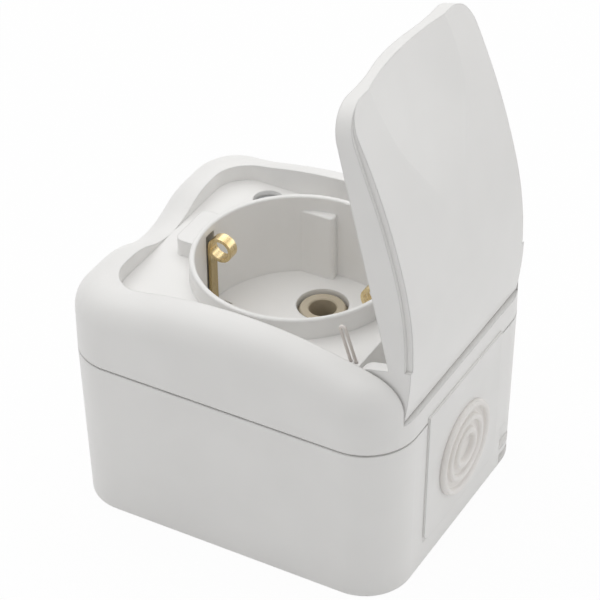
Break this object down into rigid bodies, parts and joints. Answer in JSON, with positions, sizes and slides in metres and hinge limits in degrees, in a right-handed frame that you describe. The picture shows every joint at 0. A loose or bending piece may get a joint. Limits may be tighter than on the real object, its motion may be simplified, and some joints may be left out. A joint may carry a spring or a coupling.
{
  "type": "single wall socket",
  "caption": "Surface-mounted splash-proof earthed wall socket: drafted back box, arched cover with a round recess and side earth clips, hinged sprung lid and cable entry.",
  "frame": {"origin": "centre of the back face that lies on the wall", "axes": "+Z out of the wall, +X towards the lid's hinge and the cable entry"},
  "size_m": [0.0737, 0.061, 0.104],
  "materials": {
    "white_plastic": "satin moulded",
    "soft_cream": "soft moulded",
    "seal_foam": "matt",
    "beige_plastic": "satin moulded",
    "brass": "bright rolled",
    "zinc_steel": "zinc plated",
    "spring_steel": "drawn wire"
  },
  "bodies": {
    "housing": {"base_box": "white_plastic", "front_cover": "white_plastic", "entry_plate": "white_plastic", "cable_grommet": "soft_cream", "cover_seal": "seal_foam", "live_carrier": "beige_plastic", "neutral_carrier": "beige_plastic", "pin_bushes": "beige_plastic", "insert_back_plate": "beige_plastic", "live_contact": "brass", "neutral_contact": "brass", "live_terminal": "brass", "neutral_terminal": "brass", "earth_terminal": "brass", "earth_strap": "brass", "cover_screws": "zinc_steel", "insert_screws": "zinc_steel", "terminal_screws": "zinc_steel", "hinge_pins": "zinc_steel", "contact_springs": "zinc_steel", "lid_spring": "spring_steel"},
    "lid": {"lid_shell": "white_plastic"}
  },
  "joints": [
    {"name": "lid_hinge", "type": "hinge", "parent": "housing", "child": "lid", "pos_m": [0.029, 0, 0.047], "axis": [0, 1, 0], "range_deg": [-77.1, 0], "deforming": ["lid_spring"]}
  ]
}
